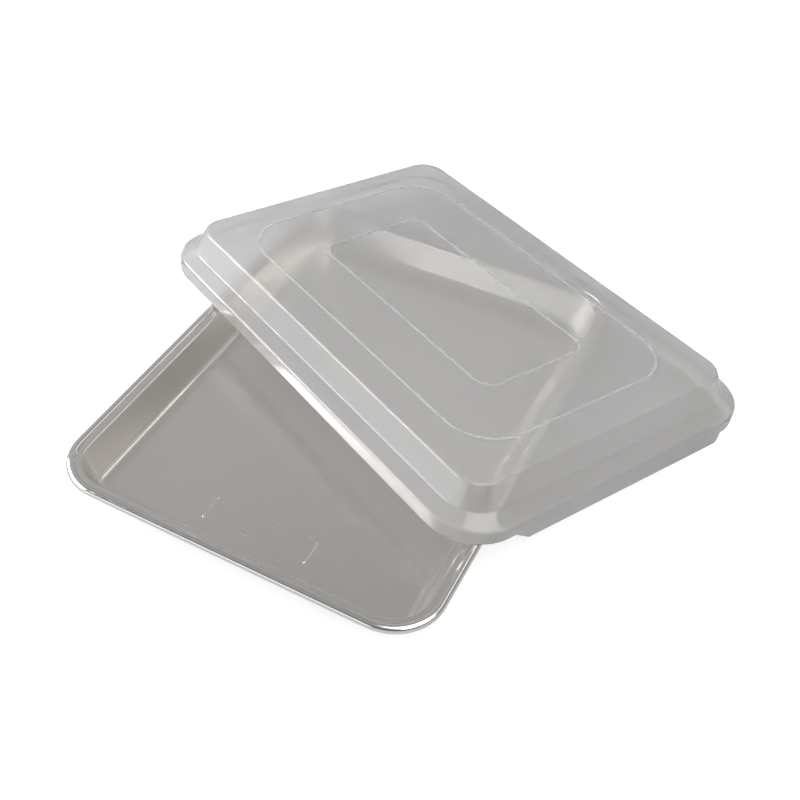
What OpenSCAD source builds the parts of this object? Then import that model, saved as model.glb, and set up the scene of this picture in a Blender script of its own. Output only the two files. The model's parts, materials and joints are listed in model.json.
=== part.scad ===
// Shallow baking pan with a rolled, wired rim, and its stepped moulded lid laid askew over one end.
// The origin is the centre of the pan's underside. The long side runs along Y, and +Z is up.

/* [Pan] */
// Width of the pan over its bead
pan_w = 241; // [200:1:300]
// Length of the pan over its bead
pan_l = 328; // [300:1:400]
// Height of the pan to the top of its bead
pan_h = 25; // [20:0.5:40]
// Corner radius over the bead
pan_r = 31.5; // [28:0.5:45]
// Thickness of the aluminium sheet
sheet_t = 1; // [0.8:0.1:1.4]
// Drop of the flange below the top of the bead
flange_drop = 1.8; // [1.4:0.1:2.6]
// Width from the bead's outer side to the top of the wall
wall_top_in = 9.2; // [8.6:0.1:12]
// Width from the bead's outer side to the foot of the wall
wall_foot_in = 17.6; // [16:0.1:19]
// Inside bend radius where the wall meets the floor
floor_bend_r = 5.5; // [3:0.5:7]
// Bend radius where the flange turns down into the wall
flange_bend_r = 2; // [1.6:0.1:3]

/* [Rolled rim] */
// Diameter of the steel wire inside the bead
wire_d = 3.5; // [3:0.1:4]
// Slit between the end of the curl and the wall, in degrees round the wire
curl_slit = 32; // [20:1:50]
// Direction of the slit, in degrees below the side of the bead that faces the wall
slit_down = 45; // [30:1:60]

/* [Pressed outline on the floor] */
// Length of the pressed rectangle across the pan
press_w = 69; // [40:1:120]
// Width of the pressed rectangle along the pan
press_l = 18.5; // [10:0.5:40]
// Distance from the centre of the pan to the centre of the rectangle
press_y = 121; // [80:1:122]
// Width of the raised line
press_line = 1.2; // [0.6:0.1:1.5]
// Height of the raised line
press_h = 0.2; // [0.2:0.1:0.5]
// Radius of the rectangle's corners
press_r = 2; // [1.6:0.2:6]

/* [Lid] */
// Wall thickness of the moulding
lid_t = 1; // [0.8:0.1:1.4]
// Gap between the bead and the inside of the skirt when the lid is on
lid_gap = 0.5; // [0.3:0.1:1.5]
// Height of the lid from the skirt's edge to the top
lid_h = 29.6; // [26:0.2:60]
// Height of the skirt up to the outer edge of the shoulder
skirt_h = 9.2; // [7:0.1:11]
// Rise of the shoulder from the skirt to the foot of the upper wall
shoulder_rise = 4.8; // [2:0.1:8]
// Width of the sloping shoulder
shoulder_w = 10.2; // [8:0.2:13]
// Lean of the upper wall, from its foot to the top
upper_lean = 6.9; // [4:0.1:9]
// Outside bend radius at the top edge
top_bend_r = 2.4; // [1.6:0.1:4]
// Bend radius at the foot of the upper wall
foot_bend_r = 1.8; // [1:0.1:3]
// Outside bend radius at the outer edge of the shoulder
shoulder_bend_r = 2.6; // [1.6:0.1:4]

/* [End tabs of the lid] */
// Depth of the tabs below the skirt's edge
tab_h = 8.2; // [5:0.2:9]
// Distance from the lid's centre line to the square end of a tab
tab_square_x = 90; // [70:1:90]
// Distance from the lid's centre line to the sloped end of a tab, at its lower edge
tab_slope_x = 71; // [50:1:75]
// Run of the sloped end
tab_slope_w = 12; // [4:1:14]
// Radius at the lower corner of the square end
tab_corner_r = 3; // [1:0.5:5]

/* [Raised outlines on the lid] */
// Distance from the lid's side to the outer outline
outer_line_in = 38.8; // [32:0.1:44]
// Corner radius of the outer outline
outer_line_r = 32; // [20:1:40]
// Distance from the lid's side to the inner outline
inner_line_in = 79; // [70:0.5:84]
// Corner radius of the inner outline
inner_line_r = 12; // [6:1:20]
// Width of a raised line
line_w = 1.3; // [0.8:0.1:2]
// Height of a raised line
line_h = 0.4; // [0.2:0.1:0.8]

/* [Where the lid lies] */
// Turn of the lid from its closed place
lie_turn = 63.5; // [61:0.1:66]
// Reach of the rim's crest past the centre of the lid's near corner, across the pan
lie_in = 15.7; // [12:0.1:20]
// Distance from the pan's far side to the centre of the lid, along the pan
lie_far = 84.6; // [82:0.1:88]
// Gap left under the lid where it touches the rim and the table
lie_gap = 0.1; // [0.05:0.05:0.3]

/* [Hidden] */
$fn = 96;

wire_r = wire_d / 2;
bead_r = wire_r + sheet_t;
bead_z = pan_h - bead_r;
flange_z = pan_h - flange_drop;
flange_start = bead_r + wire_r + sheet_t / 2;
plate_in = wall_foot_in + floor_bend_r;
join = 0.5;
ridge_root = 0.2;
far = 3;
bend_steps = 8;

lid_w = pan_w + 2 * (lid_gap + lid_t);
lid_l = pan_l + 2 * (lid_gap + lid_t);
lid_r = pan_r + lid_gap + lid_t;
top_in = shoulder_w + upper_lean;
top_plate_in = top_in + top_bend_r;
skirt_in_x = lid_w / 2 - lid_t;

// The lid lies on the crest of both long rims and stands on the far end of each tab
corner_x = lid_w / 2 - lid_r;
corner_y = lid_l / 2 - lid_r;
crest_x = pan_w / 2 - bead_r;
lie_x = crest_x - lie_in + cos(lie_turn) * corner_x - sin(lie_turn) * corner_y;
lie_y = pan_l / 2 - lie_far;
// A point of the pan seen from the lid's centre, along the lid's own sides
function in_lid(p) =
    let (v = p - [lie_x, lie_y])
    [cos(lie_turn) * v[0] + sin(lie_turn) * v[1], cos(lie_turn) * v[1] - sin(lie_turn) * v[0]];
// Where the inner edge of the skirt's near corner crosses the right rim, and its near side the left rim
near_corner_y = lie_y - sin(lie_turn) * corner_x - cos(lie_turn) * corner_y;
right_touch = in_lid([crest_x, near_corner_y - sqrt(pow(lid_r - lid_t, 2) - pow(lie_in, 2))]);
left_touch = [-skirt_in_x, (lie_x + crest_x - cos(lie_turn) * skirt_in_x) / sin(lie_turn)];
tab_tip_x = tab_square_x - tab_corner_r;
tip_shift = (tab_tip_x - tab_slope_x) / lid_l;
// Run from a touching point to the line through both tab tips, across the lid
function reach(p) = tab_slope_x - p[0] + tip_shift * (lid_l / 2 - p[1]);
lean_sin = (pan_h - tab_h) / min(reach(right_touch), reach(left_touch));
lie_lean = asin(lean_sin);
lie_roll = -asin(lean_sin * tip_shift / cos(lie_lean));
lie_z = lie_gap + lean_sin * (tab_slope_x + tip_shift * lid_l / 2) + tab_h * cos(lie_lean);

// Unit vector from p to q
function along(p, q) = (q - p) / norm(q - p);
// Direction to the right of a direction, the side the sheet's thickness is on
function right_of(d) = [d[1], -d[0]];
// Turn at the middle one of three points, in degrees
function turn_at(p, q, s) = acos(along(p, q) * along(q, s));
// 1 where the line bends to the right at q, and -1 where it bends to the left
function side_at(p, q, s) = right_of(along(p, q)) * along(q, s) > 0 ? 1 : -1;
// Direction of an angle
function heading(a) = [cos(a), sin(a)];
// Points round one bend of radius r, on a line that lies off to the right of the sheet's face
function bend_points(p, q, s, r, off) =
    let (
        d = along(p, q),
        side = side_at(p, q, s),
        turn = turn_at(p, q, s),
        c = q - d * r * tan(turn / 2) + right_of(d) * r * side,
        a = atan2(d[1], d[0])
    )
    [for (k = [0:bend_steps]) c - right_of(heading(a - side * turn * k / bend_steps)) * side * (r - side * off)];
// The face of a bent sheet as a line of points, moved off to its right
function face_line(pts, radii, off) =
    let (n = len(pts))
    concat(
        [pts[0] + right_of(along(pts[0], pts[1])) * off],
        [for (i = [1:n - 2]) each bend_points(pts[i - 1], pts[i], pts[i + 1], radii[i - 1], off)],
        [pts[n - 1] + right_of(along(pts[n - 2], pts[n - 1])) * off]
    );
// A list in reverse order
function backwards(v) = [for (i = [len(v) - 1:-1:0]) v[i]];

// Sheet of thickness t whose face runs through pts, with one bend radius for each inner point
module bent_sheet(pts, radii, t) {
    polygon(concat(face_line(pts, radii, 0), backwards(face_line(pts, radii, t))));
}

// A profile drawn as [inset from the outer side, height], carried round a rectangle with round corners
module carry_round(w, l, r) {
    for (k = [0, 1]) rotate([0, 0, 180 * k]) {
        translate([w / 2, l / 2 - r, 0]) rotate([90, 0, 0])
            linear_extrude(l - 2 * r) mirror([1, 0]) children();
        translate([w / 2 - r, l / 2, 0]) rotate([90, 0, 90]) mirror([0, 0, 1])
            linear_extrude(w - 2 * r) mirror([1, 0]) children();
        translate([w / 2 - r, l / 2 - r, 0])
            rotate_extrude(angle = 90) translate([r, 0]) mirror([1, 0]) children();
        translate([-w / 2 + r, l / 2 - r, 0]) rotate([0, 0, 90])
            rotate_extrude(angle = 90) translate([r, 0]) mirror([1, 0]) children();
    }
}

// Flat rectangle with round corners
module round_rect(w, l, r) {
    square([w - 2 * r, l], center = true);
    square([w, l - 2 * r], center = true);
    for (x = [-1, 1], y = [-1, 1]) translate([x * (w / 2 - r), y * (l / 2 - r)]) circle(r);
}

// Low rounded ridge that follows a rectangle with round corners, and is rooted in the surface below it
module ridge(w, l, r, wide, high) {
    crown_r = (pow(wide / 2, 2) + pow(high, 2)) / (2 * high);
    carry_round(w, l, r) intersection() {
        translate([wide / 2, high - crown_r]) circle(crown_r);
        translate([0, -ridge_root]) square([wide, high + ridge_root]);
    }
}

// The bead's curl, open below where the sheet's edge comes back to the wall
module bead_profile() {
    translate([bead_r, bead_z]) difference() {
        circle(bead_r);
        circle(wire_r);
        rotate(-slit_down - curl_slit / 2)
            polygon([[0, 0], far * bead_r * [1, 0], far * bead_r * heading(curl_slit)]);
    }
}

module pan_profile() {
    bead_profile();
    bent_sheet([[flange_start, flange_z], [wall_top_in, flange_z], [wall_foot_in, sheet_t], [plate_in + join, sheet_t]],
        [flange_bend_r, floor_bend_r], sheet_t);
}

module pan() color("silver") {
    carry_round(pan_w, pan_l, pan_r) pan_profile();
    linear_extrude(sheet_t) round_rect(pan_w - 2 * plate_in, pan_l - 2 * plate_in, pan_r - plate_in);
    translate([0, -press_y, sheet_t]) ridge(press_w, press_l, press_r, press_line, press_h);
}

module rim_wire() color("dimgray") carry_round(pan_w, pan_l, pan_r) translate([bead_r, bead_z]) circle(wire_r);

module lid_profile() {
    bent_sheet([[0, 0], [0, skirt_h], [shoulder_w, skirt_h + shoulder_rise], [top_in, lid_h], [top_plate_in + join, lid_h]],
        [shoulder_bend_r, foot_bend_r, top_bend_r], lid_t);
}

// One end tab, square at one end and sloped at the other, in the plane of the skirt
module end_tab() {
    translate([0, lid_t - lid_l / 2, 0]) rotate([90, 0, 0]) linear_extrude(lid_t) {
        polygon([[-tab_slope_x - tab_slope_w, 0], [-tab_slope_x, -tab_h], [tab_square_x - tab_corner_r, -tab_h],
            [tab_square_x - tab_corner_r, tab_corner_r - tab_h], [tab_square_x, tab_corner_r - tab_h], [tab_square_x, 0]]);
        translate([tab_square_x - tab_corner_r, tab_corner_r - tab_h]) circle(tab_corner_r);
    }
}

module lid_closed_shape() {
    carry_round(lid_w, lid_l, lid_r) lid_profile();
    translate([0, 0, lid_h - lid_t]) linear_extrude(lid_t)
        round_rect(lid_w - 2 * top_plate_in, lid_l - 2 * top_plate_in, lid_r - top_plate_in);
    for (k = [0, 1]) rotate([0, 0, 180 * k]) end_tab();
    translate([0, 0, lid_h]) {
        ridge(lid_w - 2 * outer_line_in, lid_l - 2 * outer_line_in, outer_line_r, line_w, line_h);
        ridge(lid_w - 2 * inner_line_in, lid_l - 2 * inner_line_in, inner_line_r, line_w, line_h);
    }
}

module lid() color("gainsboro", 0.5) translate([lie_x, lie_y, lie_z]) rotate([lie_roll, lie_lean, lie_turn]) lid_closed_shape();

pan();
rim_wire();
lid();
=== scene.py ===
import json
from math import radians

import bpy
from mathutils import Euler, Matrix

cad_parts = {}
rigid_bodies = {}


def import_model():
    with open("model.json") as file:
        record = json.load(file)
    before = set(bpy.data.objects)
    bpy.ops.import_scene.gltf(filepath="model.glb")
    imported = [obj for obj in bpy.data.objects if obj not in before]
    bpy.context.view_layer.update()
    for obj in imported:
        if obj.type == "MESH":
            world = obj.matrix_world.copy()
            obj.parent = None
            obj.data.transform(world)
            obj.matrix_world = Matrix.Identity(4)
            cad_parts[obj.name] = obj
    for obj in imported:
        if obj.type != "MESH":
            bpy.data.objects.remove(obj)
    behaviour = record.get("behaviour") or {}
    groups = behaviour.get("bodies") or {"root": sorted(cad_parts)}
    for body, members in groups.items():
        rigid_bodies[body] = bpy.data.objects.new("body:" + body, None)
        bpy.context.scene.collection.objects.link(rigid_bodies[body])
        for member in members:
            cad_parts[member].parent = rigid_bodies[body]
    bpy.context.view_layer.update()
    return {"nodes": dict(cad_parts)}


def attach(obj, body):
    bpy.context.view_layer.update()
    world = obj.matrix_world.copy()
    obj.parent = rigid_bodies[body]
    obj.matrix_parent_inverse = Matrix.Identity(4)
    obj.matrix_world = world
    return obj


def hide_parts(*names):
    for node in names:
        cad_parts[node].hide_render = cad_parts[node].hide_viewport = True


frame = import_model()

# ---------------------------------------------------------------- Camera
# The photograph's view: from the front right, about 41 degrees above the table, through a lens a little
# longer than normal. The object sits left of and above the lens's centre, so the frame is shifted to it.
bpy.ops.object.camera_add(location=(0.22851, -0.49348, 0.52524),
                          rotation=(radians(48.911), radians(-0.532), radians(29.885)))
camera = bpy.context.object
camera.name = "photo_camera"
camera.data.sensor_width = 36.0
camera.data.lens = 52.27
camera.data.shift_x = 0.1377
camera.data.shift_y = -0.0711
camera.data.clip_start = 0.01
bpy.context.scene.camera = camera

# ---------------------------------------------------------------- Pan
# A quarter-sheet baking pan, drawn from one sheet of uncoated aluminium about 1 mm thick. Its rim is curled
# over a steel wire, and the rolls that curl it leave the bead brighter than the rest.


def smooth_copy(node, name, edge=None):
    """A copy of a CAD node as one closed skin, with its bends shaded round and its square edges eased by edge."""
    bpy.ops.object.select_all(action="DESELECT")
    node.select_set(True)
    bpy.context.view_layer.objects.active = node
    bpy.ops.object.duplicate()
    piece = bpy.context.object
    bpy.ops.object.parent_clear(type="CLEAR_KEEP_TRANSFORM")
    piece.name = name
    for key in list(piece.keys()):
        del piece[key]
    bpy.ops.object.mode_set(mode="EDIT")
    bpy.ops.mesh.select_all(action="SELECT")
    bpy.ops.mesh.remove_doubles(threshold=0.000002)
    bpy.ops.mesh.dissolve_limited(angle_limit=radians(0.5))
    bpy.ops.mesh.customdata_custom_splitnormals_clear()
    bpy.ops.object.mode_set(mode="OBJECT")
    if edge:
        eased = piece.modifiers.new("eased_edges", "BEVEL")
        eased.width = edge
        eased.segments = 2
        eased.limit_method = "ANGLE"
        eased.angle_limit = radians(70)
        eased.use_clamp_overlap = False
        bpy.ops.object.modifier_apply(modifier=eased.name)
    bpy.ops.object.shade_smooth_by_angle(angle=radians(35))
    flats = piece.modifiers.new("flat_faces_stay_flat", "WEIGHTED_NORMAL")
    flats.keep_sharp = True
    bpy.ops.object.modifier_apply(modifier=flats.name)
    piece.data.materials.clear()
    return piece


def to_linear(colour, alpha=1.0):
    """A colour written as #RRGGBB in sRGB, as the linear values that a shader takes."""
    parts = [int(colour[i:i + 2], 16) / 255 for i in (1, 3, 5)]
    return [c / 12.92 if c <= 0.04045 else ((c + 0.055) / 1.055) ** 2.4 for c in parts] + [alpha]


def add_node(tree, kind, inputs=None, **settings):
    """Adds a node to a tree, with its settings, and with its inputs set to a value or linked to a socket."""
    made = tree.nodes.new(kind)
    for name, value in settings.items():
        setattr(made, name, value)
    for name, value in (inputs or {}).items():
        if isinstance(value, bpy.types.NodeSocket):
            tree.links.new(value, made.inputs[name])
        else:
            made.inputs[name].default_value = value
    return made


def new_material(name):
    """An empty node material of that name, with its node tree."""
    material = bpy.data.materials.new(name)
    material.use_nodes = True
    material.node_tree.nodes.clear()
    return material, material.node_tree


def distance_outside(tree, place, half_width, half_length, radius):
    """How far a place is outside an upright rectangle with round corners, below zero inside it."""
    sides = add_node(tree, "ShaderNodeVectorMath", {0: place}, operation="ABSOLUTE").outputs["Vector"]
    centres = (half_width - radius, half_length - radius, 1.0)
    past = add_node(tree, "ShaderNodeVectorMath", {0: sides, 1: centres}, operation="SUBTRACT").outputs["Vector"]
    past = add_node(tree, "ShaderNodeVectorMath", {0: past, 1: (0, 0, 0)}, operation="MAXIMUM").outputs["Vector"]
    out = add_node(tree, "ShaderNodeVectorMath", {0: past}, operation="LENGTH").outputs["Value"]
    return add_node(tree, "ShaderNodeMath", {0: out, 1: radius}, operation="SUBTRACT").outputs["Value"]


# Mill-finished aluminium, drawn: a soft grey mirror with no sharp edges, faintly streaked along the way in
# which the sheet was rolled and a little cloudy where it has been handled. The bead is burnished and scuffed.
aluminium, tree = new_material("aluminium_sheet_drawn")
place = add_node(tree, "ShaderNodeTexCoord").outputs["Object"]
# The bead is what lies within 5.9 mm of the rim's outline, with its inner edge softened over 1.2 mm
bead_w, soft_edge = 0.0059, 0.0012
outline = distance_outside(tree, place, 0.1205, 0.164, 0.0315)
bead = add_node(tree, "ShaderNodeMapRange", {"Value": outline, "From Min": -bead_w - soft_edge / 2,
                                             "From Max": -bead_w + soft_edge / 2}).outputs["Result"]
# Rolling grain: streaks 0.4 mm wide and 12 mm long, about three times as coarse as the real ones
streaked = add_node(tree, "ShaderNodeMapping", {"Vector": place, "Scale": (2500, 80, 400)}).outputs["Vector"]
grain = add_node(tree, "ShaderNodeTexNoise", {"Vector": streaked, "Scale": 1.0, "Detail": 2.0}).outputs["Fac"]
# Handling: clouds about 40 mm across. Scuffs: marks about 3 mm long that the rim rolls leave on the bead
clouds = add_node(tree, "ShaderNodeTexNoise", {"Vector": place, "Scale": 25.0, "Detail": 3.0}).outputs["Fac"]
scuffs = add_node(tree, "ShaderNodeTexNoise", {"Vector": place, "Scale": 330.0, "Detail": 3.0,
                                               "Roughness": 0.6}).outputs["Fac"]
worn = add_node(tree, "ShaderNodeMath", {0: grain, 1: 0.03, 2: 0.20}, operation="MULTIPLY_ADD").outputs["Value"]
worn = add_node(tree, "ShaderNodeMath", {0: clouds, 1: 0.06, 2: worn}, operation="MULTIPLY_ADD").outputs["Value"]
burnished = add_node(tree, "ShaderNodeMapRange", {"Value": scuffs, "From Min": 0.4, "From Max": 0.75,
                                                  "To Min": 0.10, "To Max": 0.24}).outputs["Result"]
rough = add_node(tree, "ShaderNodeMix", {0: bead, 2: worn, 3: burnished}, data_type="FLOAT").outputs[0]
colour = add_node(tree, "ShaderNodeMix", {0: bead, 6: to_linear("#EEEBE8"), 7: to_linear("#F4F3F2")},
                  data_type="RGBA").outputs[2]
marks = add_node(tree, "ShaderNodeMath", {0: scuffs, 1: bead}, operation="MULTIPLY").outputs["Value"]
bump = add_node(tree, "ShaderNodeBump", {"Height": marks, "Strength": 0.12, "Distance": 0.0002}).outputs["Normal"]
metal = add_node(tree, "ShaderNodeBsdfPrincipled", {"Base Color": colour, "Metallic": 1.0, "Roughness": rough,
                                                    "Normal": bump})
add_node(tree, "ShaderNodeOutputMaterial", {"Surface": metal.outputs["BSDF"]})

pan = smooth_copy(frame["nodes"]["pan"], "pan_drawn")
pan.data.materials.append(aluminium)
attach(pan, "root")
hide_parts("pan")

# ---------------------------------------------------------------- Wire in the rim
# A galvanised steel wire, 3.5 mm thick, that the sheet's edge is curled round. It shows only as a dull line
# in the slit under the bead.

# Galvanised steel: grey zinc in flat crystals about 4 mm across, some duller than others
steel, tree = new_material("steel_wire_galvanised")
place = add_node(tree, "ShaderNodeTexCoord").outputs["Object"]
spangle = add_node(tree, "ShaderNodeTexVoronoi", {"Vector": place, "Scale": 250.0}).outputs["Distance"]
dull = add_node(tree, "ShaderNodeMapRange", {"Value": spangle, "To Min": 0.35, "To Max": 0.5}).outputs["Result"]
metal = add_node(tree, "ShaderNodeBsdfPrincipled", {"Base Color": to_linear("#A9ABAD"), "Metallic": 1.0,
                                                    "Roughness": dull})
add_node(tree, "ShaderNodeOutputMaterial", {"Surface": metal.outputs["BSDF"]})

wire = frame["nodes"]["rim_wire"]
wire.data.materials.clear()
wire.data.materials.append(steel)

# ---------------------------------------------------------------- Lid
# A cover moulded in one piece from natural polypropylene, about 1 mm thick. The mould is polished, apart
# from a grained band between the two raised outlines on the top, and its parting edges are slightly eased.

# Natural polypropylene, moulded: milky and see-through, with a wet gloss on its bends. Most of the light goes
# straight through, and the rest scatters within 3 mm.
plastic = {"IOR": 1.49, "Subsurface Weight": 1.0, "Subsurface Scale": 0.003, "Subsurface Radius": (1.0, 1.0, 1.0)}
polypropylene, tree = new_material("polypropylene_moulded")
place = add_node(tree, "ShaderNodeTexCoord").outputs["Object"]
# The lid's own directions, with the middle of its skirt's edge as the centre
lid_turn = Euler([radians(turn) for turn in (-0.241, 4.977, 63.5)])
lid_place = Matrix.LocRotScale((0.02318, 0.0794, 0.01512), lid_turn, None)
own = add_node(tree, "ShaderNodeMapping", {"Vector": place, "Location": lid_place.to_translation(),
                                           "Rotation": lid_turn}, vector_type="TEXTURE").outputs["Vector"]
# The grained band is on the top, inside the outer raised line and outside the inner one. It scatters what is
# behind it and glitters faintly. Its edges are softened over 0.4 mm.
top_z, line_w, soft_edge = 0.0296, 0.0013, 0.0004
height = add_node(tree, "ShaderNodeSeparateXYZ", {"Vector": own}).outputs["Z"]
top = add_node(tree, "ShaderNodeMath", {0: height, 1: top_z - 0.0016}, operation="GREATER_THAN").outputs["Value"]
outer = distance_outside(tree, own, 0.0832, 0.1267, 0.032)
inner = distance_outside(tree, own, 0.0430, 0.0865, 0.012)
in_outer = add_node(tree, "ShaderNodeMapRange", {"Value": outer, "From Min": -line_w + soft_edge / 2,
                                                 "From Max": -line_w - soft_edge / 2}).outputs["Result"]
out_of_inner = add_node(tree, "ShaderNodeMapRange", {"Value": inner, "From Min": -soft_edge / 2,
                                                     "From Max": soft_edge / 2}).outputs["Result"]
band = add_node(tree, "ShaderNodeMath", {0: in_outer, 1: out_of_inner}, operation="MULTIPLY").outputs["Value"]
band = add_node(tree, "ShaderNodeMath", {0: band, 1: top}, operation="MULTIPLY").outputs["Value"]
# Spark-eroded grain, 1.2 mm from bump to bump, which is about twice as coarse as the real one
grit = add_node(tree, "ShaderNodeTexNoise", {"Vector": place, "Scale": 850.0, "Detail": 2.0,
                                             "Roughness": 0.6}).outputs["Fac"]
gritty = add_node(tree, "ShaderNodeMath", {0: grit, 1: band}, operation="MULTIPLY").outputs["Value"]
bump = add_node(tree, "ShaderNodeBump", {"Height": gritty, "Strength": 0.8, "Distance": 0.0001}).outputs["Normal"]
rough = add_node(tree, "ShaderNodeMapRange", {"Value": band, "To Min": 0.02, "To Max": 0.12}).outputs["Result"]
clear = add_node(tree, "ShaderNodeBsdfPrincipled", {**plastic, "Base Color": to_linear("#F5F6F7"),
                                                    "Transmission Weight": 0.83, "Roughness": rough,
                                                    "Normal": bump})
add_node(tree, "ShaderNodeOutputMaterial", {"Surface": clear.outputs["BSDF"]})

# The same plastic on the two raised outlines, made whiter and less see-through as a painted highlight, so that
# they show as light lines; duller too, with a roughness that varies in patches about 1 mm long
painted_light_lines, tree = new_material("polypropylene_painted_light_lines")
place = add_node(tree, "ShaderNodeTexCoord").outputs["Object"]
scuffs = add_node(tree, "ShaderNodeTexNoise", {"Vector": place, "Scale": 900.0, "Detail": 2.0}).outputs["Fac"]
rough = add_node(tree, "ShaderNodeMapRange", {"Value": scuffs, "From Min": 0.35, "From Max": 0.65,
                                              "To Min": 0.34, "To Max": 0.40}).outputs["Result"]
# Painted highlight: a whiter base colour and less transmission than the clear plastic, so that the lines read
# light
painted_highlight_plastic = add_node(tree, "ShaderNodeBsdfPrincipled", {**plastic, "Base Color": to_linear("#FCFCFC"),
                                                       "Transmission Weight": 0.62, "Roughness": rough})
add_node(tree, "ShaderNodeOutputMaterial", {"Surface": painted_highlight_plastic.outputs["BSDF"]})

lid = smooth_copy(frame["nodes"]["lid"], "lid_moulded", edge=0.00015)
lid.data.materials.append(polypropylene)
# The second slot holds the plastic with the painted highlight, for the raised lines
lid.data.materials.append(painted_light_lines)
# Only the raised lines stand above the top
for face in lid.data.polygons:
    if (lid_place.inverted() @ face.center).z > top_z + 0.00003:
        face.material_index = 1
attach(lid, "root")
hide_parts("lid")

# ---------------------------------------------------------------- Table
# A plain white table top that runs out of sight. It is not part of the object.
bpy.ops.object.select_all(action="DESELECT")
bpy.ops.mesh.primitive_plane_add(size=8.0, location=(0, 0, -0.0002))
table = bpy.context.object
table.name = "table"
# Matte white board: an even white that keeps a faint shadow, also where metal or plastic shows it
board, tree = new_material("board_matte_white")
seen = add_node(tree, "ShaderNodeLightPath").outputs
glow = add_node(tree, "ShaderNodeMath", {0: seen["Is Glossy Ray"], 1: 0.04}, operation="MULTIPLY").outputs["Value"]
glow = add_node(tree, "ShaderNodeMath", {0: seen["Is Transmission Ray"], 1: 0.08, 2: glow},
                operation="MULTIPLY_ADD").outputs["Value"]
# Straight views of it are lifted to white, and to pure white away from the object, where the lamps don't reach
place = add_node(tree, "ShaderNodeTexCoord").outputs["Object"]
away = add_node(tree, "ShaderNodeVectorMath", {0: place}, operation="LENGTH").outputs["Value"]
lift = add_node(tree, "ShaderNodeMapRange", {"Value": away, "From Min": 0.35, "From Max": 0.9,
                                             "To Min": 0.70, "To Max": 1.0}).outputs["Result"]
glow = add_node(tree, "ShaderNodeMath", {0: seen["Is Camera Ray"], 1: lift, 2: glow},
                operation="MULTIPLY_ADD").outputs["Value"]
paper = add_node(tree, "ShaderNodeBsdfDiffuse", {"Color": to_linear("#B8B8B8")})
light = add_node(tree, "ShaderNodeEmission", {"Color": (1, 1, 1, 1), "Strength": glow})
both = add_node(tree, "ShaderNodeAddShader", {0: paper.outputs["BSDF"], 1: light.outputs["Emission"]})
add_node(tree, "ShaderNodeOutputMaterial", {"Surface": both.outputs["Shader"]})
table.data.materials.append(board)

# ---------------------------------------------------------------- Light
# An even room that is dark low down on the camera's side and warm on the right, white only where the eye meets
# it past the object. A long soft box stands on the left, a larger one hangs on the right, and a narrow strip
# beyond the far right corner draws the bright line along the right rim.
world = bpy.data.worlds.new("room")
bpy.context.scene.world = world
world.use_nodes = True
tree = world.node_tree
tree.nodes.clear()
direction = add_node(tree, "ShaderNodeTexCoord").outputs["Generated"]
toward = add_node(tree, "ShaderNodeSeparateXYZ", {"Vector": direction}).outputs
# Neutral on the left, warm on the right, and fading towards the horizon
right = add_node(tree, "ShaderNodeMapRange", {"Value": toward["X"], "From Min": -0.35,
                                              "From Max": 0.7}).outputs["Result"]
shade = add_node(tree, "ShaderNodeMix", {0: right, 6: (0.42, 0.416, 0.412, 1), 7: (0.37, 0.358, 0.34, 1)},
                 data_type="RGBA").outputs[2]
sunk = add_node(tree, "ShaderNodeMapRange", {"Value": toward["Z"], "From Min": 0.55, "From Max": 0.0,
                                             "To Max": 0.5}).outputs["Result"]
shade = add_node(tree, "ShaderNodeMix", {0: sunk, 6: shade, 7: (0.02, 0.02, 0.02, 1)}, data_type="RGBA").outputs[2]
# The ceiling, which the near end of the pan's floor shows
ceiling = add_node(tree, "ShaderNodeMapRange", {"Value": toward["Z"], "From Min": 0.75,
                                                "From Max": 0.80}).outputs["Result"]
shade = add_node(tree, "ShaderNodeMix", {0: ceiling, 6: shade, 7: (0.29, 0.29, 0.29, 1)},
                 data_type="RGBA").outputs[2]
# The dark side behind the camera, which the near bead shows
front = add_node(tree, "ShaderNodeMapRange", {"Value": toward["Y"], "From Min": -0.15,
                                              "From Max": -0.5}).outputs["Result"]
low = add_node(tree, "ShaderNodeMapRange", {"Value": toward["Z"], "From Min": 0.85,
                                            "From Max": 0.50}).outputs["Result"]
dark = add_node(tree, "ShaderNodeMath", {0: front, 1: low}, operation="MULTIPLY").outputs["Value"]
shade = add_node(tree, "ShaderNodeMix", {0: dark, 6: shade, 7: (0.13, 0.138, 0.155, 1)},
                 data_type="RGBA").outputs[2]
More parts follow.
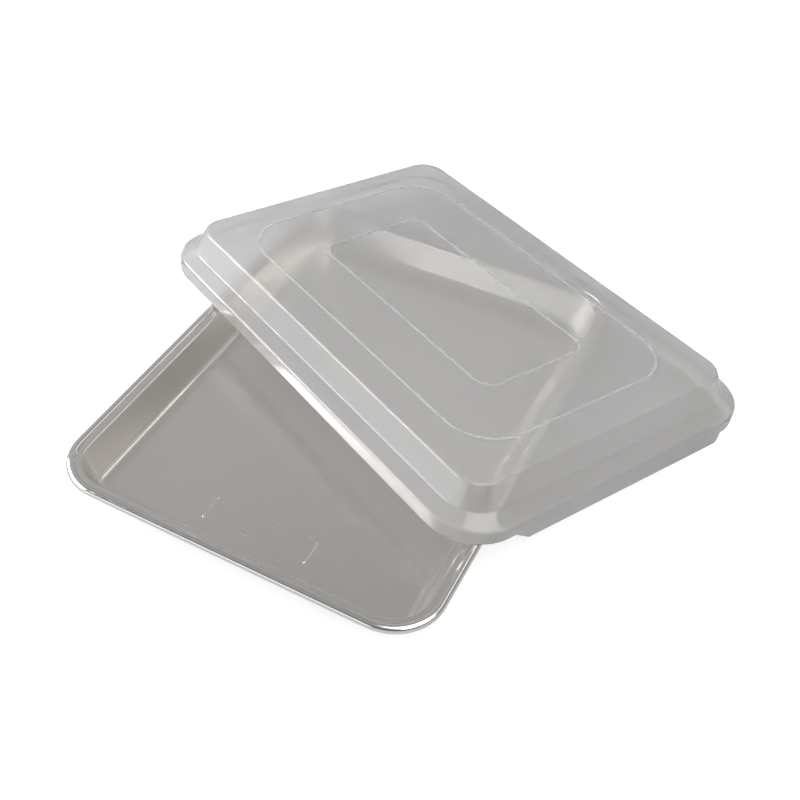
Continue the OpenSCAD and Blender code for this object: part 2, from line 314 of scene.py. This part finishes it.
# The table's lit front edge low on that side, which the pan's far wall shows
grazing = add_node(tree, "ShaderNodeMapRange", {"Value": toward["Z"], "From Min": 0.22,
                                                "From Max": 0.16}).outputs["Result"]
left = add_node(tree, "ShaderNodeMapRange", {"Value": toward["X"], "From Min": 0.0,
                                             "From Max": -0.15}).outputs["Result"]
lit = add_node(tree, "ShaderNodeMath", {0: front, 1: grazing}, operation="MULTIPLY").outputs["Value"]
lit = add_node(tree, "ShaderNodeMath", {0: lit, 1: left}, operation="MULTIPLY").outputs["Value"]
shade = add_node(tree, "ShaderNodeMix", {0: lit, 6: shade, 7: (1.6, 1.6, 1.6, 1)}, data_type="RGBA").outputs[2]
# White where the eye meets it straight or through the plastic, and the room's own shade in every reflection
seen = add_node(tree, "ShaderNodeLightPath").outputs
bounced = add_node(tree, "ShaderNodeMath", {0: seen["Diffuse Depth"], 1: seen["Glossy Depth"]},
                   operation="ADD").outputs["Value"]
straight = add_node(tree, "ShaderNodeMath", {0: bounced, 1: 0.5}, operation="LESS_THAN").outputs["Value"]
room = add_node(tree, "ShaderNodeBackground", {"Color": shade, "Strength": 1.0})
backdrop = add_node(tree, "ShaderNodeBackground", {"Color": (1, 1, 1, 1), "Strength": 1.0})
shown = add_node(tree, "ShaderNodeMixShader", {0: straight, 1: room.outputs["Background"],
                                               2: backdrop.outputs["Background"]})
add_node(tree, "ShaderNodeOutputWorld", {"Surface": shown.outputs["Shader"]})


def add_soft_box(name, place, turn, width, height, watts, colour=(1, 1, 1)):
    """A rectangular area lamp that shines along its own -Z, with its turn in degrees."""
    bpy.ops.object.light_add(type="AREA", location=place, rotation=[radians(angle) for angle in turn])
    box = bpy.context.object
    box.name = name
    box.data.shape = "RECTANGLE"
    box.data.size = width
    box.data.size_y = height
    box.data.energy = watts
    box.data.color = colour


add_soft_box("soft_box_left", (-1.37, -0.49, 0.75), (0, -63, 20), 0.75, 1.5, 31)
add_soft_box("soft_box_right", (0.88, -0.24, 1.31), (0, 35, -15), 1.6, 1.4, 17, (1, 0.955, 0.90))
add_soft_box("soft_strip_back_right", (0.71, 1.10, 1.07), (0, 34, 0), 0.25, 1.3, 1.1, (1, 0.96, 0.91))

bpy.context.scene.view_settings.view_transform = "Standard"
